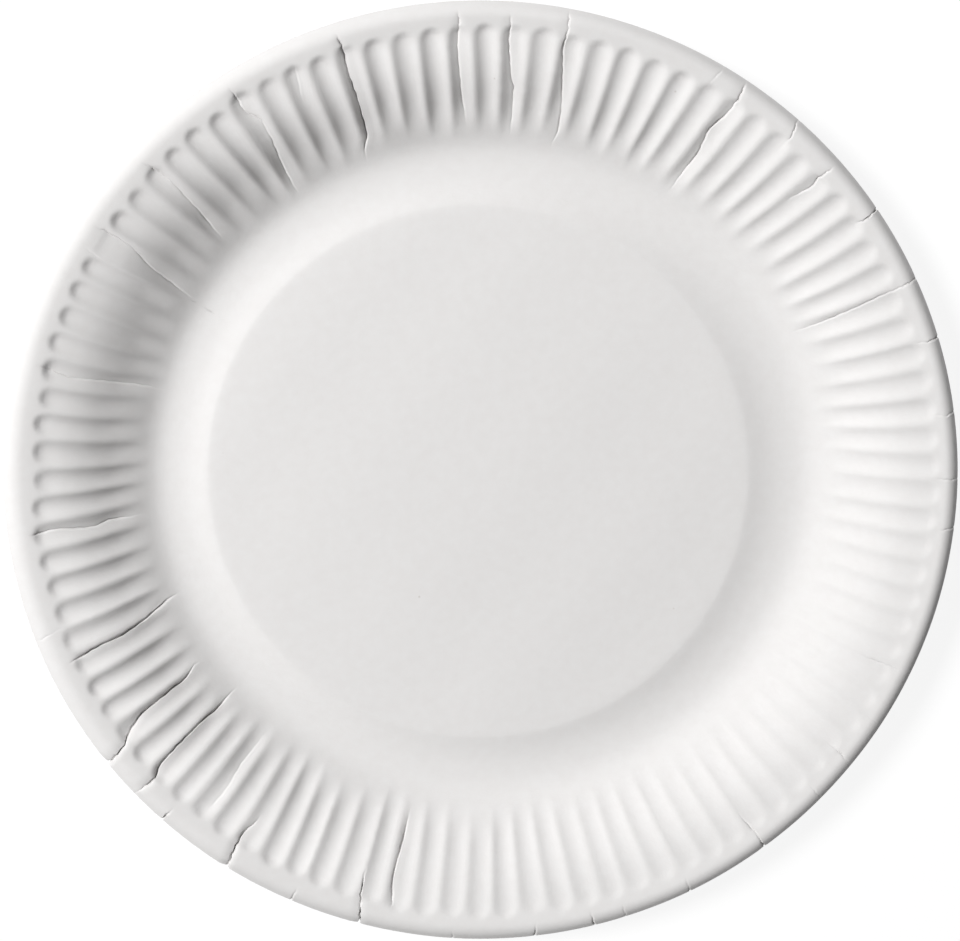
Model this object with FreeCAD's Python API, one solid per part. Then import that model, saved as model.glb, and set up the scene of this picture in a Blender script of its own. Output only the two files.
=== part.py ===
"""Round paper plate with a fluted rim, pressed from one sheet of board.

The plate is 230 mm across. From the middle outwards its section is a raised flat
centre, a shallow channel, the narrow foot ring that it stands on, the curved wall
and a rolled lip. One hundred flutes gather the board round the wall.

The section is worked out once, from the lip inwards, as a chain of straight lines and
arcs that touch tangentially. One gore of the plate is the skin between two neighbouring ridges of
the fluted wall, and the whole plate is that gore repeated round the axis.

Frame: the origin is on the table under the middle of the plate, +Z is up.
"""
import FreeCAD, Part
import math
import os

Vector = FreeCAD.Vector

# Driving dimensions, in millimetres and degrees
SIZES = [
    ("plate_radius", 115.0, "rolled edge to axis"),
    ("rim_height", 17.0, "table to the top of the lip"),
    ("board", 0.4, "thickness of the board"),
    ("centre_rise", 1.9, "centre above the foot ring"),
    ("channel_slope", 15.0, "fall of the board just outside the centre"),
    ("channel_bend", 14.0, "radius where the channel levels out"),
    ("foot_width", 1.2, "flat ring that the plate stands on"),
    ("foot_bend", 11.0, "radius between foot and wall"),
    ("wall_slope", 33.7, "climb of the straight wall"),
    ("shoulder_bend", 40.0, "radius of the wall's upper part"),
    ("land_slope", 12.0, "rise of the plain band between flutes and lip"),
    ("lip_bend", 5.0, "radius of the rolled lip"),
    ("lip_slope", 37.5, "fall of the board at its outer edge"),
    ("flute_count", 100, "flutes round the wall"),
    ("flute_depth", 0.8, "ridge to valley"),
    ("flute_margin", 5.5, "plate's edge to the outer ends of the flutes"),
    ("flute_end_run", 0.9, "run of the small wall that closes a valley"),
]


def add_sheet(doc):
    """The sheet holds each driving dimension as a plain number with its own name."""
    sheet = doc.addObject("Spreadsheet::Sheet", "sizes")
    for row, (name, value, meaning) in enumerate(SIZES, start=1):
        sheet.set("A%d" % row, name)
        sheet.set("B%d" % row, str(value))
        sheet.set("C%d" % row, meaning)
        sheet.setAlias("B%d" % row, name)
    doc.recompute()
    return sheet


def on_circle(centre, radius, slope, side):
    """Point of a section circle where the board climbs outwards at this slope.

    side is +1 on the upper half of the circle and -1 on its lower half.
    """
    angle = math.radians(slope)
    return Vector(centre.x - side * radius * math.sin(angle), 0, centre.z + side * radius * math.cos(angle))


def arc(centre, radius, slope_in, slope_out, side):
    """Section arc from one slope to another."""
    middle = (slope_in + slope_out) / 2
    points = [on_circle(centre, radius, slope, side) for slope in (slope_in, middle, slope_out)]
    return Part.Arc(*points).toShape()


class Section:
    """Centres and slopes that the upper and the lower face of the board share."""

    def __init__(self, size):
        self.size = size
        floor = size.board
        wall = size.wall_slope
        climb = math.tan(math.radians(wall))

        # From the edge inwards: the rolled lip, the plain land and the wall's shoulder
        lip_reach = size.lip_bend * math.sin(math.radians(size.lip_slope))
        self.lip_axis = Vector(size.plate_radius - lip_reach, 0, size.rim_height - size.lip_bend)
        land_end = on_circle(self.lip_axis, size.lip_bend, size.land_slope, 1)
        land_run = land_end.x - (size.plate_radius - size.flute_margin)
        land_drop = land_run * math.tan(math.radians(size.land_slope))
        flute_end = land_end - Vector(land_run, 0, land_drop)
        self.shoulder_axis = flute_end - on_circle(Vector(), size.shoulder_bend, size.land_slope, 1)
        shoulder_start = on_circle(self.shoulder_axis, size.shoulder_bend, wall, 1)

        # The straight wall takes up the height that is left above the foot's bend
        foot_bend_end = on_circle(Vector(0, 0, floor + size.foot_bend), size.foot_bend, wall, -1)
        wall_run = (shoulder_start.z - foot_bend_end.z) / climb
        foot_outer = shoulder_start.x - wall_run - foot_bend_end.x
        foot_inner = foot_outer - size.foot_width
        self.foot_axis = Vector(foot_outer, 0, floor + size.foot_bend)
        self.channel_axis = Vector(foot_inner, 0, floor + size.channel_bend)

        # The fall from the centre and the bend below it together drop by centre_rise
        fall = math.radians(size.channel_slope)
        bend_drop = size.channel_bend * (1 - math.cos(fall))
        fall_run = (size.centre_rise - bend_drop) / math.tan(fall)
        centre_radius = foot_inner - size.channel_bend * math.sin(fall) - fall_run
        self.centre_edge = Vector(centre_radius, 0, floor + size.centre_rise)

        # A valley ends a little inside the ridges, at the foot of its small end wall
        valley_end = self.shoulder_axis.x - flute_end.x + size.flute_end_run
        self.valley_end_slope = math.degrees(math.asin(valley_end / size.shoulder_bend))


class Skin:
    """One face of the board: the section's edges at a ridge, and one valley.

    depth is how far this face lies under the upper face of the board.
    """

    def __init__(self, section, depth):
        size = section.size
        wall = size.wall_slope
        fall = -size.channel_slope
        # Bends that open upwards grow with depth, bends that open downwards shrink
        channel = size.channel_bend + depth
        foot = size.foot_bend + depth
        shoulder = size.shoulder_bend - depth
        lip = size.lip_bend - depth

        channel_arc = arc(section.channel_axis, channel, fall, 0, -1)
        foot_arc = arc(section.foot_axis, foot, 0, wall, -1)
        lip_arc = arc(section.lip_axis, lip, size.land_slope, -size.lip_slope, 1)

        # The centre's edge is a crisp crease, so both faces turn on its bisector
        lean = depth * math.tan(math.radians(size.channel_slope) / 2)
        self.centre_edge = section.centre_edge - Vector(lean, 0, depth)
        channel_start = channel_arc.valueAt(channel_arc.FirstParameter)

        self.foot_inner = Vector(section.channel_axis.x, 0, size.board - depth)
        self.foot_outer = Vector(section.foot_axis.x, 0, size.board - depth)
        self.bends = [channel_arc, foot_arc, lip_arc]
        self.wall_start = on_circle(section.foot_axis, foot, wall, -1)
        self.ridge_start = on_circle(section.shoulder_axis, shoulder, wall, 1)
        self.ridge_arc = arc(section.shoulder_axis, shoulder, wall, size.land_slope, 1)
        self.ridge_end = on_circle(section.shoulder_axis, shoulder, size.land_slope, 1)
        land_end = on_circle(section.lip_axis, lip, size.land_slope, 1)
        self.straights = [(self.centre_edge, channel_start), (self.ridge_end, land_end)]
        self.rim = on_circle(section.lip_axis, lip, -size.lip_slope, 1)

        valley = shoulder - size.flute_depth
        self.valley_arc = arc(section.shoulder_axis, valley, wall, section.valley_end_slope, 1)
        self.valley_start = on_circle(section.shoulder_axis, valley, wall, 1)
        self.valley_end = on_circle(section.shoulder_axis, valley, section.valley_end_slope, 1)


def turned(thing, angle):
    """A copy of an edge or a point, turned about the plate's axis."""
    if isinstance(thing, Vector):
        return FreeCAD.Rotation(Vector(0, 0, 1), angle).multVec(thing)
    copy = thing.copy()
    copy.rotate(Vector(), Vector(0, 0, 1), angle)
    return copy


def flat_face(*outlines):
    """Flat face inside the first ring of points, less the rings after it."""
    wires = [Part.makePolygon(points + points[:1]) for points in outlines]
    return Part.makeFace(wires, "Part::FaceMakerBullseye")


def flute_faces(skin, start, pitch):
    """One flute: a run-in, two flanks that meet in a valley, and a small end wall."""
    faces = []
    end = start + pitch
    middle = start + pitch / 2
    valley_start = turned(skin.valley_start, middle)
    valley_end = turned(skin.valley_end, middle)
    valley_arc = turned(skin.valley_arc, middle)
    run_in = [turned(skin.wall_start, start), turned(skin.wall_start, end), valley_start]
    end_wall = [turned(skin.ridge_end, start), turned(skin.ridge_end, end), valley_end]
    faces.append(flat_face(run_in))
    faces.append(flat_face(end_wall))
    for angle in (start, end):
        wall = [turned(skin.wall_start, angle), turned(skin.ridge_start, angle), valley_start]
        faces.append(flat_face(wall))
        faces.append(Part.makeRuledSurface(turned(skin.ridge_arc, angle), valley_arc))
    return faces


def gore_faces(skin, start, pitch):
    """The skin between two neighbouring ridges, from the centre's edge to the rim."""
    faces = flute_faces(skin, start, pitch)
    for inner, outer in skin.straights:
        near = [turned(inner, start), turned(outer, start)]
        far = [turned(outer, start + pitch), turned(inner, start + pitch)]
        faces.append(flat_face(near + far))
    for bend in skin.bends:
        faces.append(Part.makeRuledSurface(turned(bend, start), turned(bend, start + pitch)))
    return faces


def plate_shape(size):
    """The whole plate as one solid: upper skin, lower skin and the cut edge of the board."""
    section = Section(size)
    skins = [Skin(section, 0), Skin(section, size.board)]
    count = int(size.flute_count)
    pitch = 360.0 / count
    angles = [pitch * index for index in range(count)]

    faces = []
    for skin in skins:
        faces.append(flat_face([turned(skin.centre_edge, angle) for angle in angles]))
        outer = [turned(skin.foot_outer, angle) for angle in angles]
        inner = [turned(skin.foot_inner, angle) for angle in angles]
        faces.append(flat_face(outer, inner))
        for angle in angles:
            faces.extend(gore_faces(skin, angle, pitch))
    for angle in angles:
        cut = [turned(skin.rim, angle) for skin in skins]
        far_cut = [turned(skin.rim, angle + pitch) for skin in reversed(skins)]
        faces.append(flat_face(cut + far_cut))

    shell = Part.makeShell(faces)
    shell.sewShape()
    solid = Part.makeSolid(shell)
    if solid.Volume < 0:
        solid.reverse()
    return solid


def check(doc, node):
    """Stop before anything is written if an object failed or the plate isn't one sound solid."""
    for item in doc.Objects:
        if "Invalid" in item.State or "Error" in item.State:
            raise RuntimeError("%s failed: %s" % (item.Label, item.State))
    shape = node.Shape
    if shape.isNull() or not shape.isValid() or len(shape.Solids) != 1:
        raise RuntimeError("%s isn't one valid solid" % node.Label)


doc = FreeCAD.newDocument("paper_plate")
sheet = add_sheet(doc)

plate = doc.addObject("Part::Feature", "plate")
plate.Label = "plate"
plate.Shape = plate_shape(sheet)
plate.Placement = FreeCAD.Placement()
doc.recompute()
check(doc, plate)

os.makedirs("parts", exist_ok=True)
plate.Shape.exportStep("parts/%s.step" % plate.Label)
centre_radius = Section(sheet).centre_edge.x
print("plate: %.0f mm3, centre of %.1f mm radius" % (plate.Shape.Volume, centre_radius))
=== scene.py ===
"""Paper plate with a fluted rim, seen from above on a white table."""
import math

import bpy
import numpy as np
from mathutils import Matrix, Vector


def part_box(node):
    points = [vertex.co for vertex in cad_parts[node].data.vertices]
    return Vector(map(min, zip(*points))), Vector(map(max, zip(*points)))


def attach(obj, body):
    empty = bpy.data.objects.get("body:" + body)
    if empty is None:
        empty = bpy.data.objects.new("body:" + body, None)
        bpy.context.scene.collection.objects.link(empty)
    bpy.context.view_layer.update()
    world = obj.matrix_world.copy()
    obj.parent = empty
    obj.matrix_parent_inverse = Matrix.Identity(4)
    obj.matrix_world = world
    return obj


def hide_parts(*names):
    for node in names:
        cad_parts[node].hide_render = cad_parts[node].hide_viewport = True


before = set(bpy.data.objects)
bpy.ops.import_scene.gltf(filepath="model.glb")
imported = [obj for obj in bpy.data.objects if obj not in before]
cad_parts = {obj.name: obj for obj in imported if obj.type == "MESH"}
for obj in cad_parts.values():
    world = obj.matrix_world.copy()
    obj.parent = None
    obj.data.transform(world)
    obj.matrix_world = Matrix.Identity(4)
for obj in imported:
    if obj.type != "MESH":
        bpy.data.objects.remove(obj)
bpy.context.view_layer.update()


# The plate
# One round blank of white board is pressed between two dies, with nothing glued. The dies
# raise the flat centre, gather the wall into one hundred flutes and roll the lip over.
# Where the board was gathered too hard it has creased and cracked.
plate_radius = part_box("plate")[1][0]
rim_height = 0.0170
board = 0.0004
foot_inner = 0.0756
foot_outer = 0.0768

# How steeply the upper face climbs outwards, in degrees, at distances from the axis
centre_climb = [
    (0.0645, 0), (0.0661, -2.5), (0.0667, -5.5), (0.0671, -10), (0.0677, -13),
    (0.0692, -14), (0.0712, -10.5), (0.0735, -5), (foot_inner, 0),
]
wall_climb = [
    (foot_outer, 0), (0.0780, 5), (0.0805, 15.5), (0.0829, 31), (0.0854, 38), (0.0878, 40),
    (0.0902, 40.5), (0.0927, 38.5), (0.0951, 35), (0.0975, 30), (0.1024, 18.5), (0.1084, 12),
]
land_slope = 12
land_start = 0.1084
lip_bend = 0.0038
lip_slope = 40
lip_crest = plate_radius - 0.0034

# Flutes: a narrow round ridge and a wide valley
flute_count = 100
flute_depth = 0.0008
flute_end = 0.10954
ridge_share = 0.26
columns_per_flute = 12
columns = flute_count * columns_per_flute


def climb_height(places, climb, start):
    """Heights of a section at some distances, from the slope of the board at each."""
    fine = np.linspace(climb[0][0], climb[-1][0], 600)
    slope = np.interp(fine, [place for place, slope in climb], [slope for place, slope in climb])
    step = fine[1] - fine[0]
    gain = np.concatenate([[0], np.cumsum(np.tan(np.radians(slope[1:] + slope[:-1]) / 2) * step)])
    return start + np.interp(places, fine, gain)


# Section of the centre and the channel. The channel's bottom lies on the table
inner_reach = np.array([
    0.0645, 0.0655, 0.0661, 0.0665, 0.0668, 0.0671, 0.0675,
    0.0681, 0.0690, 0.0703, 0.0718, 0.0733, 0.0746, foot_inner,
])
inner_height = climb_height(inner_reach, centre_climb, 0)
centre_height = board - inner_height[-1]
inner_height = inner_height + centre_height

# Section of the wall, the plain land beside the lip and the lip
crest_start = lip_crest - lip_bend * math.sin(math.radians(land_slope))
lip_lean = np.radians(np.linspace(land_slope, -lip_slope, 7))
lip_reach = lip_crest - lip_bend * np.sin(lip_lean)
lip_height = rim_height - lip_bend + lip_bend * np.cos(lip_lean)
trim_height = lip_height[-1] - (plate_radius - lip_reach[-1]) * math.tan(math.radians(lip_slope))
land_height = lip_height[0] - (crest_start - land_start) * math.tan(math.radians(land_slope))
flutes_start = 0.0835
shoulder_end = 0.1070
wall_reach = np.concatenate([
    np.linspace(foot_outer, flutes_start, 5)[:-1],
    np.linspace(flutes_start, shoulder_end, 18)[:-1],
    np.linspace(shoulder_end, land_start, 3),
])
wall_height = climb_height(wall_reach, wall_climb, board)
wall_height = board + (wall_height - board) * (land_height - board) / (wall_height[-1] - board)

# Closer rings where the flutes end
end_reach = np.array([0.1088, 0.1092, 0.1096, 0.1101])
end_height = land_height + (end_reach - land_start) * math.tan(math.radians(land_slope))
ring_reach = np.concatenate([wall_reach, end_reach, lip_reach, [plate_radius]])
ring_height = np.concatenate([wall_height, end_height, lip_height, [trim_height]])
rings = len(ring_reach)


def draw_out(reaches, heights, radius, height):
    """Extrude the selected ring outwards through the points of a section."""
    for reach, level in zip(reaches, heights):
        bpy.ops.mesh.extrude_region_move(TRANSFORM_OT_translate={"value": (0, 0, level - height)})
        scale = reach / radius
        bpy.ops.transform.resize(value=(scale, scale, 1), center_override=(0, 0, level))
        radius, height = reach, level


# The centre and the channel: a disc of board, drawn out ring by ring
inner_columns = 200
grid_radius = 0.060
bpy.ops.object.select_all(action="DESELECT")
bpy.ops.mesh.primitive_circle_add(vertices=inner_columns, radius=grid_radius, fill_type="NOTHING")
plate = bpy.context.object
plate.name = "pressed_plate"
plate.data.name = "pressed_plate"
bpy.ops.object.mode_set(mode="EDIT")
bpy.ops.mesh.select_all(action="SELECT")
bpy.ops.transform.translate(value=(0, 0, centre_height))
draw_out(inner_reach, inner_height, grid_radius, centre_height)
bpy.ops.object.mode_set(mode="OBJECT")

# The wall and the lip: a second ring with twelve columns of faces to a flute
bpy.ops.object.select_all(action="DESELECT")
bpy.ops.mesh.primitive_circle_add(vertices=columns, radius=foot_outer, fill_type="NOTHING")
wall = bpy.context.object
bpy.ops.object.mode_set(mode="EDIT")
bpy.ops.mesh.select_all(action="SELECT")
bpy.ops.transform.translate(value=(0, 0, board))
draw_out(ring_reach[1:], ring_height[1:], foot_outer, board)
bpy.ops.object.mode_set(mode="OBJECT")

# Each ring and column of the wall is found again by its place
spots = np.empty(len(wall.data.vertices) * 3)
wall.data.vertices.foreach_get("co", spots)
spots = spots.reshape(-1, 3)
ring = np.abs(np.hypot(spots[:, 0], spots[:, 1])[:, None] - ring_reach[None, :]).argmin(axis=1)
column = np.rint(np.arctan2(spots[:, 1], spots[:, 0]) / (2 * math.pi / columns)).astype(int) % columns


# Folds and cracks, each as a path of (degrees, millimetres from the axis) that starts at the
# rim's side, then the depth of its groove, the height of the raised edge beside it and the
# sink of the board towards it, in millimetres. A raised edge below 0 lies clockwise
folds = [
    ([(1.1, 115), (1.1, 109)], 0.20, -0.10, 0.05),
    ([(9.4, 115), (9.0, 112.2), (9.4, 109)], 0.15, -0.20, 0.05),
    ([(18.6, 115), (18.5, 111.5), (18.9, 108)], 0.25, -0.10, 0.05),
    ([(26.1, 115), (26.1, 108), (26.0, 100.7), (25.6, 92.8), (25.5, 85)], 0.14, -0.12, 0.15),
    ([(35.6, 115), (35.6, 110), (35.8, 108.5)], 0.60, -0.10, 0.10),
    ([(43.0, 112), (43.3, 107.5), (42.9, 105), (43.7, 99.5)], 0.20, -0.15, 0.20),
    ([(49.7, 114), (49.3, 110), (49.4, 107)], 0.25, -0.10, 0.05),
    ([(57.3, 113.5), (57.3, 106), (58.1, 99.8), (57.4, 93.4), (57.4, 85)], 0.28, -0.15, 0.30),
    ([(60.5, 114), (61.3, 109.5)], 0.15, -0.08, 0.05),
    ([(79.7, 113.5), (80.0, 105), (79.3, 98.5), (78.5, 92.3), (78.0, 85.5), (78.5, 84)], 0.20, -0.14, 0.25),
    ([(86.8, 111), (86.9, 105.5), (86.3, 97), (85.7, 94.5), (85.6, 85.5)], 0.16, -0.14, 0.35),
    ([(92.9, 112), (93.4, 105.5), (93.4, 99), (93.2, 92.5), (92.8, 87.5)], 0.12, -0.14, 0.35),
    ([(107.6, 111.5), (107.9, 105), (108.0, 95), (108.3, 88), (109.8, 84.5)], 0.65, -0.18, 0.50),
    ([(114.0, 108.5), (114.9, 101.5)], 0.04, -0.20, 0.10),
    (
        [(122.0, 111), (122.3, 105), (121.0, 101.5), (121.2, 96), (122.1, 90), (122.6, 84.5)],
        0.16, -0.22, 0.35,
    ),
    ([(135.8, 110.5), (135.3, 103.5), (135.8, 94.5), (136.8, 87.5)], 0.16, -0.20, 0.30),
    ([(145.6, 110), (145.4, 105.5), (145.5, 101), (146.6, 95), (147.9, 84.5)], 0.18, -0.22, 0.30),
    ([(148.6, 110), (149.1, 105)], 0.10, -0.12, 0.05),
    ([(164.5, 109.5), (165.1, 102.5), (164.8, 95.5), (164.4, 87.5), (164.4, 82.5)], 0.12, 0.22, 0.25),
    ([(186.1, 109.5), (185.8, 103.5), (186.5, 95), (185.9, 91.5), (186.1, 86.5)], 0.22, 0.18, 0.30),
    ([(199.3, 114), (198.6, 109)], 0.12, 0.06, 0.05),
    ([(203.2, 109), (202.9, 102.5), (203.0, 96.5), (202.6, 90.5), (201.2, 83.5)], 0.60, 0.10, 0.50),
    (
        [(216.9, 114.5), (216.2, 110), (214.9, 106), (214.1, 101.5), (213.9, 92), (214.2, 89.5), (213.2, 86.5)],
        0.70, 0.12, 0.50,
    ),
    (
        [(221.9, 113.5), (221.9, 109), (221.0, 106), (220.8, 101), (220.7, 92), (221.2, 88), (220.9, 84)],
        0.65, 0.12, 0.50,
    ),
    ([(226.6, 115), (226.4, 111.5)], 0.50, 0.06, 0.05),
    ([(230.0, 105), (230.1, 98.5), (229.7, 92.5), (229.9, 86)], 0.06, 0.20, 0.20),
    ([(236.6, 115), (235.7, 109.5), (235.6, 105.5), (236.3, 102)], 0.75, 0.15, 0.60),
    ([(245.7, 115), (245.4, 111.5)], 0.35, 0.08, 0.05),
    ([(254.7, 115), (253.4, 108), (253.1, 103)], 0.75, 0.12, 0.30),
    ([(257.7, 108), (257.1, 102.5), (257.3, 96.5), (257.7, 88)], 0.32, 0.16, 0.40),
    ([(266.5, 115), (266.2, 112.5)], 0.25, 0.06, 0.05),
    ([(276.8, 115), (276.8, 111)], 0.25, 0.06, 0.05),
    ([(284.4, 115), (284.0, 111)], 0.30, 0.06, 0.05),
    ([(288.5, 115), (288.2, 111.5)], 0.20, 0.06, 0.05),
    ([(297.1, 115), (297.0, 111)], 0.30, 0.06, 0.05),
    ([(307.9, 115), (307.8, 111), (307.4, 105)], 0.30, 0.12, 0.15),
    ([(317.2, 114), (317.1, 110.5)], 0.15, 0.06, 0.05),
    ([(322.8, 113), (322.9, 106)], 0.15, 0.10, 0.10),
    ([(328.9, 113), (328.8, 110)], 0.15, 0.06, 0.05),
    ([(336.1, 112), (335.5, 102)], 0.10, 0.08, 0.10),
    ([(355.2, 115), (354.6, 110.5)], 0.18, -0.12, 0.05),
]
folds.sort(key=lambda fold: np.mean([turn for turn, place in fold[0]]))

# A fold wavers a little round its path, in degrees
mm = 0.001
fold_turn = []
for number, (path, groove, edge, sink) in enumerate(folds):
    places = np.array([place for turn, place in path])[::-1] * mm
    turns = np.array([turn for turn, place in path])[::-1]
    waver = 0.05 * np.sin(ring_reach * 2600 + 2.3 * number) + 0.035 * np.sin(ring_reach * 5100 + number)
    fold_turn.append(np.interp(ring_reach, places, turns) + waver)
fold_turn = np.array(fold_turn)

# Each fold has one home column of vertices on its path, with four columns crowded close to
# it on either side. From the twelfth column on, the others stand evenly where there is room
column_turn = 360 / columns
homes = [int(round(float(np.mean(turns)) / column_turn)) for turns in fold_turn]
crowd = np.array([-1.10, -0.60, -0.32, -0.15, 0, 0.15, 0.32, 0.60, 1.10]) * mm
crowd_columns = range(-4, 5)
free = 12

angles = np.empty((rings, columns))
for row in range(rings):
    stops, marks = [], []
    for number, home in enumerate(homes):
        before = homes[number - 1] - (columns if number == 0 else 0)
        if home - before > 2 * free:
            stops.append(home - free)
            marks.append((home - free) * column_turn)
        for offset, shift in zip(crowd_columns, crowd):
            stops.append(home + offset)
            marks.append(fold_turn[number][row] + math.degrees(shift / ring_reach[row]))
        after = homes[(number + 1) % len(homes)] + (columns if number == len(homes) - 1 else 0)
        if after - home > 2 * free:
            stops.append(home + free)
            marks.append((home + free) * column_turn)
    stops = [stops[-1] - columns] + stops + [stops[0] + columns]
    marks = [marks[-1] - 360] + marks + [marks[0] + 360]
    angles[row] = np.interp(np.arange(columns), stops, marks)
angle = angles[ring, column] % 360
reach = ring_reach[ring].copy()


def smooth_step(value, low, high):
    """0 below low, 1 above high and a soft S between them."""
    share = np.clip((value - low) / (high - low), 0, 1)
    return share * share * (3 - 2 * share)


# Where each ridge stands, in degrees, with a slow drift round the plate
chance = np.random.default_rng(7)
pitch = 360 / flute_count
drift_at = [0, 30, 65, 90, 120, 150, 190, 240, 260, 300, 360]
drift_by = [1.22, 1.33, 1.62, 1.42, 1.22, 1.0, 0.76, 0.83, 1.14, 1.2, 1.22]
ridge_turn = np.arange(flute_count + 1) * pitch
ridge_turn = ridge_turn + np.interp(ridge_turn, drift_at, drift_by) + chance.normal(0, 0.08, flute_count + 1)
ridge_turn[-1] = ridge_turn[0] + 360

# How deep each valley is, and how far out and in it goes. The die bit least at the lower right
deep_at = [0, 30, 60, 90, 150, 220, 245, 265, 300, 330, 360]
deep_by = [0.75, 1.0, 1.2, 1.3, 1.25, 1.32, 1.0, 0.72, 0.5, 0.55, 0.75]
depth_by = np.interp(ridge_turn[:-1], deep_at, deep_by) * (1 + chance.normal(0, 0.08, flute_count))
end_by = chance.normal(0, 0.0003, flute_count)
start_by = chance.normal(0, 0.0010, flute_count)

# The flutes lean a little one way or the other, in degrees over a run of 10 mm
lean = 0.16 * np.sin(np.radians(angle * 7 + 40)) + 0.12 * np.sin(np.radians(angle * 19))
lean_middle = 0.098
lean_run = 0.010
lean = lean * (reach - lean_middle) / lean_run

# Each point's flute, and how far it is from the middle of that flute's valley
lap = (angle + lean - ridge_turn[0]) % 360 + ridge_turn[0]
count = np.interp(lap, ridge_turn, np.arange(flute_count + 1))
flute = np.clip(np.floor(count).astype(int), 0, flute_count - 1)
side = np.abs(count - flute - 0.5)

# Across a flute the slope changes evenly, one way in the valley and the other on the ridge
flank = 0.5 - ridge_share / 2
hollow = 1 / (flank * flank + flank * ridge_share / 2)
crown = hollow * flank * 2 / ridge_share
valley = 1 - np.where(side < flank, hollow * side ** 2, 1 - crown * (0.5 - side) ** 2)

# Each valley fades in on the wall and ends in a small round wall beside the lip
fade_in = 0.0085
end_round = 0.0020
end_inside = 0.0023
end_outside = 0.0002
pocket_end = flute_end + end_by[flute] - end_round * (2 * side) ** 2
pocket_start = flutes_start + start_by[flute]
sunk = smooth_step(reach, pocket_start, pocket_start + fade_in)
sunk = sunk * (1 - smooth_step(reach, pocket_end - end_inside, pocket_end + end_outside))
press = -flute_depth * depth_by[flute] * valley * sunk

# The folds: a narrow groove with a raised edge on one side, and board that sinks towards
# it over a longer stretch on the other. Half widths, the edge's place and the stretches of
# sunken board are in millimetres. A fold fades out at both ends, but not at the trimmed rim
groove_half = 0.30
groove_gain = 1.35
edge_place = 0.34
edge_half = 0.27
edge_gain = 0.55
sink_beyond = 2.2
sink_beside = 1.1
inner_fade = (0.0012, 0.0040)
outer_fade = (0.0022, 0.0012)
open_end = 0.1145
# Along each fold a mark whitens the raised edge and paints shade into the groove
whitening_and_shade = np.zeros(len(spots))
for number, (path, groove, edge, sink) in enumerate(folds):
    first = path[-1][1] * mm
    last = path[0][1] * mm
    off = (angle - fold_turn[number][ring] + 180) % 360 - 180
    off = np.radians(off) * reach / mm
    if edge < 0:
        off = -off
    along = smooth_step(reach, first - inner_fade[0], first + inner_fade[1])
    if last < open_end:
        along = along * (1 - smooth_step(reach, last - outer_fade[0], last + outer_fade[1]))

    # Where the groove is shallow the edge beside it stands higher
    uneven = 0.72 + 0.33 * np.sin(reach * 700 + 1.7 * number) + 0.25 * np.sin(reach * 1900 + number)
    uneven = np.clip(uneven, 0.1, 1.3)
    raised = np.clip(1.4 - uneven, 0.2, 1.2)
    cut = np.clip(1 - np.abs(off) / groove_half, 0, 1) * groove_gain
    lift = np.clip(1 - np.abs(off - edge_place) / edge_half, 0, 1) * abs(edge) * raised * edge_gain
    beyond = np.clip(1 + off / sink_beyond, 0, 1) ** 1.5
    beside = np.clip(1 - off / sink_beside, 0, 1) ** 1.5
    dip = np.where(off < 0, beyond, beside) * sink
    press = press + (lift - groove * uneven * cut - dip) * along * mm
    # The raised edge is whitened, and the groove is darkened with painted shade
    whitening_and_shade = whitening_and_shade + along * (np.clip(lift * 2, 0, 1) - cut * min(1, groove * 1.8) * uneven)

# Flutes and folds are pressed square to the board
rise = np.gradient(ring_height, ring_reach)
across = np.hypot(1, rise)
level = ring_height[ring] + press / across[ring]
reach = reach - press * rise[ring] / across[ring]

# The board isn't quite even, and the dies weren't quite centred on each other
warp = 0.14 * np.sin(np.radians(2 * angle + 50)) + 0.07 * np.sin(np.radians(5 * angle + 120))
warp = warp + 0.05 * np.sin(np.radians(11 * angle)) + 0.03 * np.sin(np.radians(23 * angle + 80))
level = level + warp * mm * smooth_step(reach, 0.080, 0.112)
shift_at = [0.067, 0.076, 0.084, 0.1096, 0.115]
shift_by = [-0.00075, 0.0, 0.0004, 0.00075, -0.00026]
shift = np.interp(reach, shift_at, shift_by)
trim = smooth_step(reach, 0.108, 0.115)
trim_oval = 0.0013
trim_shift = 0.00022
spots[:, 0] = reach * np.cos(np.radians(angle)) + shift
spots[:, 1] = reach * np.sin(np.radians(angle)) * (1 - trim_oval * trim) - trim_shift * trim
spots[:, 2] = level
wall.data.vertices.foreach_set("co", spots.ravel())
wall.data.update()
whitening_and_shade_layer = wall.data.attributes.new("fold_whitening_and_painted_shade", "FLOAT", "POINT")
whitening_and_shade_layer.data.foreach_set("value", whitening_and_shade)

# Close the disc with a grid of faces
bpy.ops.object.select_all(action="DESELECT")
bpy.context.view_layer.objects.active = plate
plate.select_set(True)
for vertex in plate.data.vertices:
    vertex.select = math.hypot(vertex.co.x, vertex.co.y) < grid_radius + 0.0005
for edge in plate.data.edges:
    edge.select = all(plate.data.vertices[index].select for index in edge.vertices)
bpy.ops.object.mode_set(mode="EDIT")
bpy.ops.mesh.select_mode(type="EDGE")
bpy.ops.mesh.fill_grid(span=inner_columns // 4)
bpy.ops.object.mode_set(mode="OBJECT")

# The centre swells and sinks by about a tenth of a millimetre
swell_height = 0.00009
for vertex in plate.data.vertices:
    spot = vertex.co.copy()
    centre = math.hypot(spot.x, spot.y)
    swell = math.sin(spot.x * 95 + 0.6) * math.sin(spot.y * 80 - 0.4)
    swell = swell + 0.6 * math.sin(spot.x * 150 - spot.y * 120)
    vertex.co.z += swell_height * swell * (1 - smooth_step(centre, 0.055, 0.072))
    vertex.co.x += np.interp(centre, shift_at, shift_by)

# Join the disc to the wall across the foot
wall.select_set(True)
bpy.ops.object.join()


def on_foot(spot):
    """Whether a point lies on the inner or the outer ring of the foot."""
    centre = math.hypot(spot.x, spot.y)
    near = min(abs(centre - foot_inner), abs(centre - foot_outer)) < 0.0003
    return near and abs(spot.z - board) < 0.00001


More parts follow.
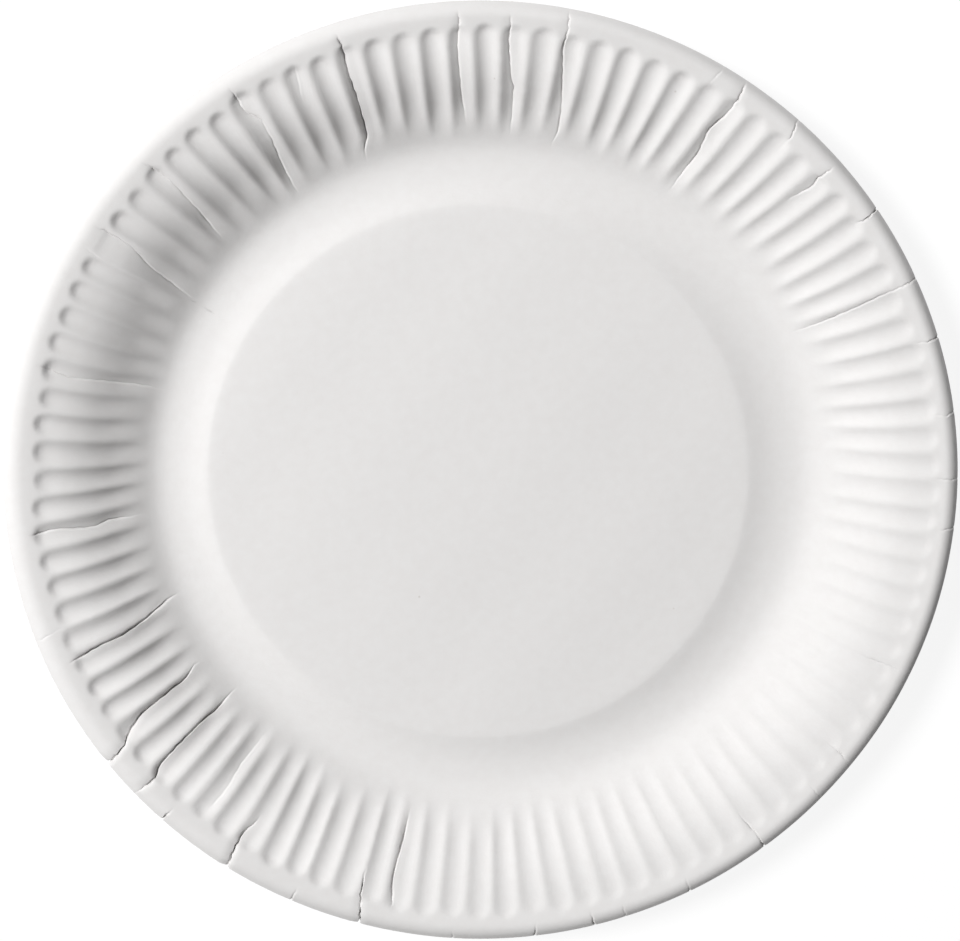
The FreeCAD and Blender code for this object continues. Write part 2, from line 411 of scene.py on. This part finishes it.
for vertex in plate.data.vertices:
    vertex.select = False
for face in plate.data.polygons:
    face.select = False
for edge in plate.data.edges:
    edge.select = all(on_foot(plate.data.vertices[index].co) for index in edge.vertices)
    if edge.select:
        for index in edge.vertices:
            plate.data.vertices[index].select = True
bpy.ops.object.mode_set(mode="EDIT")
bpy.ops.mesh.bridge_edge_loops()
bpy.ops.mesh.select_all(action="SELECT")
bpy.ops.mesh.remove_doubles(threshold=0.000001)
bpy.ops.mesh.normals_make_consistent(inside=False)
bpy.ops.object.mode_set(mode="OBJECT")
if plate.data.polygons[0].normal.z < 0:
    plate.data.flip_normals()

# The board is crushed thinner at the bottom of a groove
crushed = 0.75
thickness = plate.vertex_groups.new(name="thickness")
thickness.add(range(len(plate.data.vertices)), 1, "REPLACE")
for vertex, fold_mark in zip(plate.data.vertices, plate.data.attributes["fold_whitening_and_painted_shade"].data):
    if fold_mark.value < -0.05:
        thickness.add([vertex.index], 1 + crushed * max(fold_mark.value, -1), "REPLACE")

solidify = plate.modifiers.new("board", "SOLIDIFY")
solidify.vertex_group = "thickness"
solidify.thickness = board
solidify.offset = -1
solidify.use_rim = True
bpy.ops.object.modifier_apply(modifier=solidify.name)
bpy.ops.object.shade_smooth_by_angle(angle=math.radians(50))

# White uncoated board: fine fibres, a slightly cloudy tone, a few darker flecks,
# whitened edges along the folds and painted shade darkening their grooves
paper = bpy.data.materials.new("white_board")
paper.use_nodes = True
nodes = paper.node_tree.nodes
links = paper.node_tree.links
shader = nodes["Principled BSDF"]
shader.inputs["Specular IOR Level"].default_value = 0.15
place = nodes.new("ShaderNodeTexCoord")
cloud = nodes.new("ShaderNodeTexNoise")
cloud.inputs["Scale"].default_value = 380
cloud.inputs["Detail"].default_value = 6
cloud.inputs["Roughness"].default_value = 0.6
links.new(place.outputs["Object"], cloud.inputs["Vector"])
tone = nodes.new("ShaderNodeValToRGB")
tone.color_ramp.elements[0].position = 0.3
tone.color_ramp.elements[0].color = (0.750, 0.736, 0.728, 1)
tone.color_ramp.elements[1].position = 0.7
tone.color_ramp.elements[1].color = (0.770, 0.760, 0.754, 1)
links.new(cloud.outputs["Fac"], tone.inputs["Fac"])
fleck = nodes.new("ShaderNodeTexVoronoi")
fleck.inputs["Scale"].default_value = 330
fleck.inputs["Randomness"].default_value = 1
links.new(place.outputs["Object"], fleck.inputs["Vector"])
fleck_size = nodes.new("ShaderNodeMapRange")
fleck_size.inputs["From Min"].default_value = 0.05
fleck_size.inputs["From Max"].default_value = 0.12
fleck_size.inputs["To Min"].default_value = 1
fleck_size.inputs["To Max"].default_value = 0
links.new(fleck.outputs["Distance"], fleck_size.inputs["Value"])
rare = nodes.new("ShaderNodeMath")
rare.operation = "GREATER_THAN"
rare.inputs[1].default_value = 0.93
links.new(fleck.outputs["Color"], rare.inputs[0])
fleck_share = nodes.new("ShaderNodeMath")
fleck_share.operation = "MULTIPLY"
links.new(fleck_size.outputs["Result"], fleck_share.inputs[0])
links.new(rare.outputs[0], fleck_share.inputs[1])
fleck_soft = nodes.new("ShaderNodeMath")
fleck_soft.operation = "MULTIPLY"
fleck_soft.inputs[1].default_value = 0.30
links.new(fleck_share.outputs[0], fleck_soft.inputs[0])
flecked = nodes.new("ShaderNodeMix")
flecked.data_type = "RGBA"
links.new(fleck_soft.outputs[0], flecked.inputs["Factor"])
links.new(tone.outputs["Color"], flecked.inputs[6])
flecked.inputs[7].default_value = (0.33, 0.28, 0.22, 1)
whitening_and_shade_at = nodes.new("ShaderNodeAttribute")
whitening_and_shade_at.attribute_name = "fold_whitening_and_painted_shade"
whitening_and_shade_tone = nodes.new("ShaderNodeMapRange")
whitening_and_shade_tone.inputs["From Min"].default_value = -1
whitening_and_shade_tone.inputs["From Max"].default_value = 1
whitening_and_shade_tone.inputs["To Min"].default_value = 0.5
whitening_and_shade_tone.inputs["To Max"].default_value = 1.5
links.new(whitening_and_shade_at.outputs["Fac"], whitening_and_shade_tone.inputs["Value"])
# The fold mark scales the paper's colour: lighter on whitened edges, darker where shade is painted in the
# grooves
whitened_and_shaded_paper = nodes.new("ShaderNodeMix")
whitened_and_shaded_paper.data_type = "RGBA"
whitened_and_shaded_paper.blend_type = "MULTIPLY"
whitened_and_shaded_paper.inputs["Factor"].default_value = 0.35
links.new(flecked.outputs[2], whitened_and_shaded_paper.inputs[6])
links.new(whitening_and_shade_tone.outputs["Result"], whitened_and_shaded_paper.inputs[7])
links.new(whitened_and_shaded_paper.outputs[2], shader.inputs["Base Color"])
stretch = nodes.new("ShaderNodeMapping")
stretch.inputs["Scale"].default_value = (1, 3.2, 1)
stretch.inputs["Rotation"].default_value = (0, 0, 0.5)
links.new(place.outputs["Object"], stretch.inputs["Vector"])
fibre = nodes.new("ShaderNodeTexNoise")
fibre.inputs["Scale"].default_value = 1500
fibre.inputs["Detail"].default_value = 4
links.new(stretch.outputs["Vector"], fibre.inputs["Vector"])
dull = nodes.new("ShaderNodeMapRange")
dull.inputs["To Min"].default_value = 0.82
dull.inputs["To Max"].default_value = 0.97
links.new(fibre.outputs["Fac"], dull.inputs["Value"])
links.new(dull.outputs["Result"], shader.inputs["Roughness"])
grain = nodes.new("ShaderNodeBump")
grain.inputs["Strength"].default_value = 0.5
grain.inputs["Distance"].default_value = 0.00003
links.new(fibre.outputs["Fac"], grain.inputs["Height"])
felt = nodes.new("ShaderNodeBump")
felt.inputs["Strength"].default_value = 0.6
felt.inputs["Distance"].default_value = 0.00008
links.new(cloud.outputs["Fac"], felt.inputs["Height"])
links.new(grain.outputs["Normal"], felt.inputs["Normal"])
links.new(felt.outputs["Normal"], shader.inputs["Normal"])
plate.data.materials.clear()
plate.data.materials.append(paper)

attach(plate, "root")
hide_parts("plate")


# The table
# A table top painted plain white, six metres across, with the plate standing loose on it.
# Seen directly it glows, so it is nearly pure white, as in the photo.


def seen_directly(nodes, links):
    """1 for what the camera, a mirror or a glass sees, 0 for light that falls on things."""
    path = nodes.new("ShaderNodeLightPath")
    seen = path.outputs["Is Camera Ray"]
    for ray in ("Is Glossy Ray", "Is Transmission Ray"):
        either = nodes.new("ShaderNodeMath")
        either.operation = "MAXIMUM"
        links.new(seen, either.inputs[0])
        links.new(path.outputs[ray], either.inputs[1])
        seen = either.outputs[0]
    return seen


bpy.ops.object.select_all(action="DESELECT")
bpy.ops.mesh.primitive_plane_add(size=6)
table = bpy.context.object
table.name = "table"
table_paint = bpy.data.materials.new("table_paint")
table_paint.use_nodes = True
nodes = table_paint.node_tree.nodes
links = table_paint.node_tree.links
table_shader = nodes["Principled BSDF"]
table_shader.inputs["Base Color"].default_value = (0.8, 0.8, 0.8, 1)
table_shader.inputs["Roughness"].default_value = 0.9
glow = nodes.new("ShaderNodeEmission")
glow.inputs["Strength"].default_value = 1.06
share = nodes.new("ShaderNodeMath")
share.operation = "MULTIPLY"
share.inputs[1].default_value = 0.85
links.new(seen_directly(nodes, links), share.inputs[0])
mix = nodes.new("ShaderNodeMixShader")
links.new(share.outputs[0], mix.inputs[0])
links.new(table_shader.outputs[0], mix.inputs[1])
links.new(glow.outputs[0], mix.inputs[2])
links.new(mix.outputs[0], nodes["Material Output"].inputs["Surface"])
table.data.materials.append(table_paint)


# The light
# One soft lamp stands to the upper left, half a metre wide and 1.7 metres away. A little
# light from the white room fills the shadows.
light_azimuth = math.radians(153)
light_height = math.radians(52.5)
light_distance = 1.7
lamp_data = bpy.data.lights.new("softbox", "AREA")
lamp_data.shape = "DISK"
lamp_data.size = 0.5
lamp_data.energy = 34.6
lamp = bpy.data.objects.new("softbox", lamp_data)
lamp.location = (
    light_distance * math.cos(light_height) * math.cos(light_azimuth),
    light_distance * math.cos(light_height) * math.sin(light_azimuth),
    light_distance * math.sin(light_height),
)
lamp.rotation_euler = (-lamp.location).to_track_quat("-Z", "Y").to_euler()
bpy.context.collection.objects.link(lamp)

room = bpy.data.worlds.new("room")
bpy.context.scene.world = room
room.use_nodes = True
nodes = room.node_tree.nodes
links = room.node_tree.links
fill = nodes["Background"]
fill.inputs["Color"].default_value = (1, 1, 1, 1)
strength = nodes.new("ShaderNodeMapRange")
strength.inputs["To Min"].default_value = 0.03
strength.inputs["To Max"].default_value = 1
links.new(seen_directly(nodes, links), strength.inputs["Value"])
links.new(strength.outputs["Result"], fill.inputs["Strength"])


# The camera
# It stands half a metre above the plate, a little towards the photo's top, and looks back
# at a point just beside the plate's middle.
camera_distance = 0.520
camera_tilt = math.radians(9.8)
aim = (-0.00035, 0.00135)
camera_data = bpy.data.cameras.new("camera")
camera_data.lens = 78.54
camera_data.sensor_width = 36
camera = bpy.data.objects.new("camera", camera_data)
camera.location = (
    aim[0],
    aim[1] + camera_distance * math.sin(camera_tilt),
    camera_distance * math.cos(camera_tilt),
)
camera.rotation_euler = (-camera_tilt, 0, 0)
bpy.context.collection.objects.link(camera)
bpy.context.scene.camera = camera
bpy.context.scene.view_settings.view_transform = "Standard"
